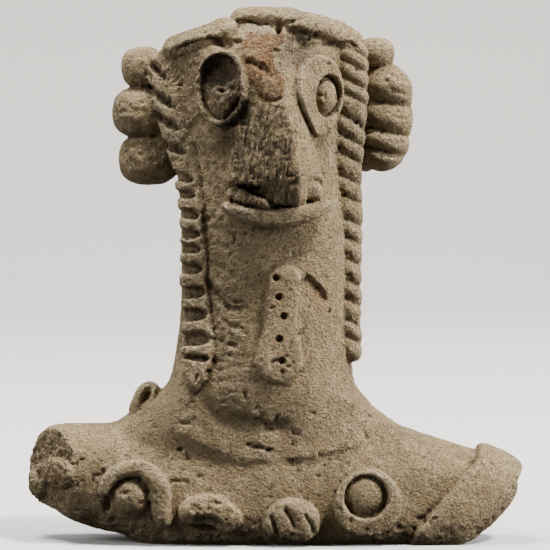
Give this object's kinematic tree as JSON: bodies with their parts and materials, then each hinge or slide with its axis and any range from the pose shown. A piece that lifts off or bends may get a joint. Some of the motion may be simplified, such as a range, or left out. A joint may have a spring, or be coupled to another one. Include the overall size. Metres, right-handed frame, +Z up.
{
  "type": "terracotta bust",
  "caption": "Broken hand-modelled clay idol bust with disc eyes, a pinched nose, notched tresses, hair buns and applied discs on the chest",
  "frame": {"origin": "on the flat break that the bust stands on, below the middle of the neck", "axes": "+Z up along the neck, -Y the way the face looks, +X to the viewer's right"},
  "size_m": [0.1236, 0.0462, 0.1331],
  "materials": {
    "terracotta": "matt"
  },
  "bodies": {
    "root": {"bust": "terracotta"}
  },
  "joints": []
}
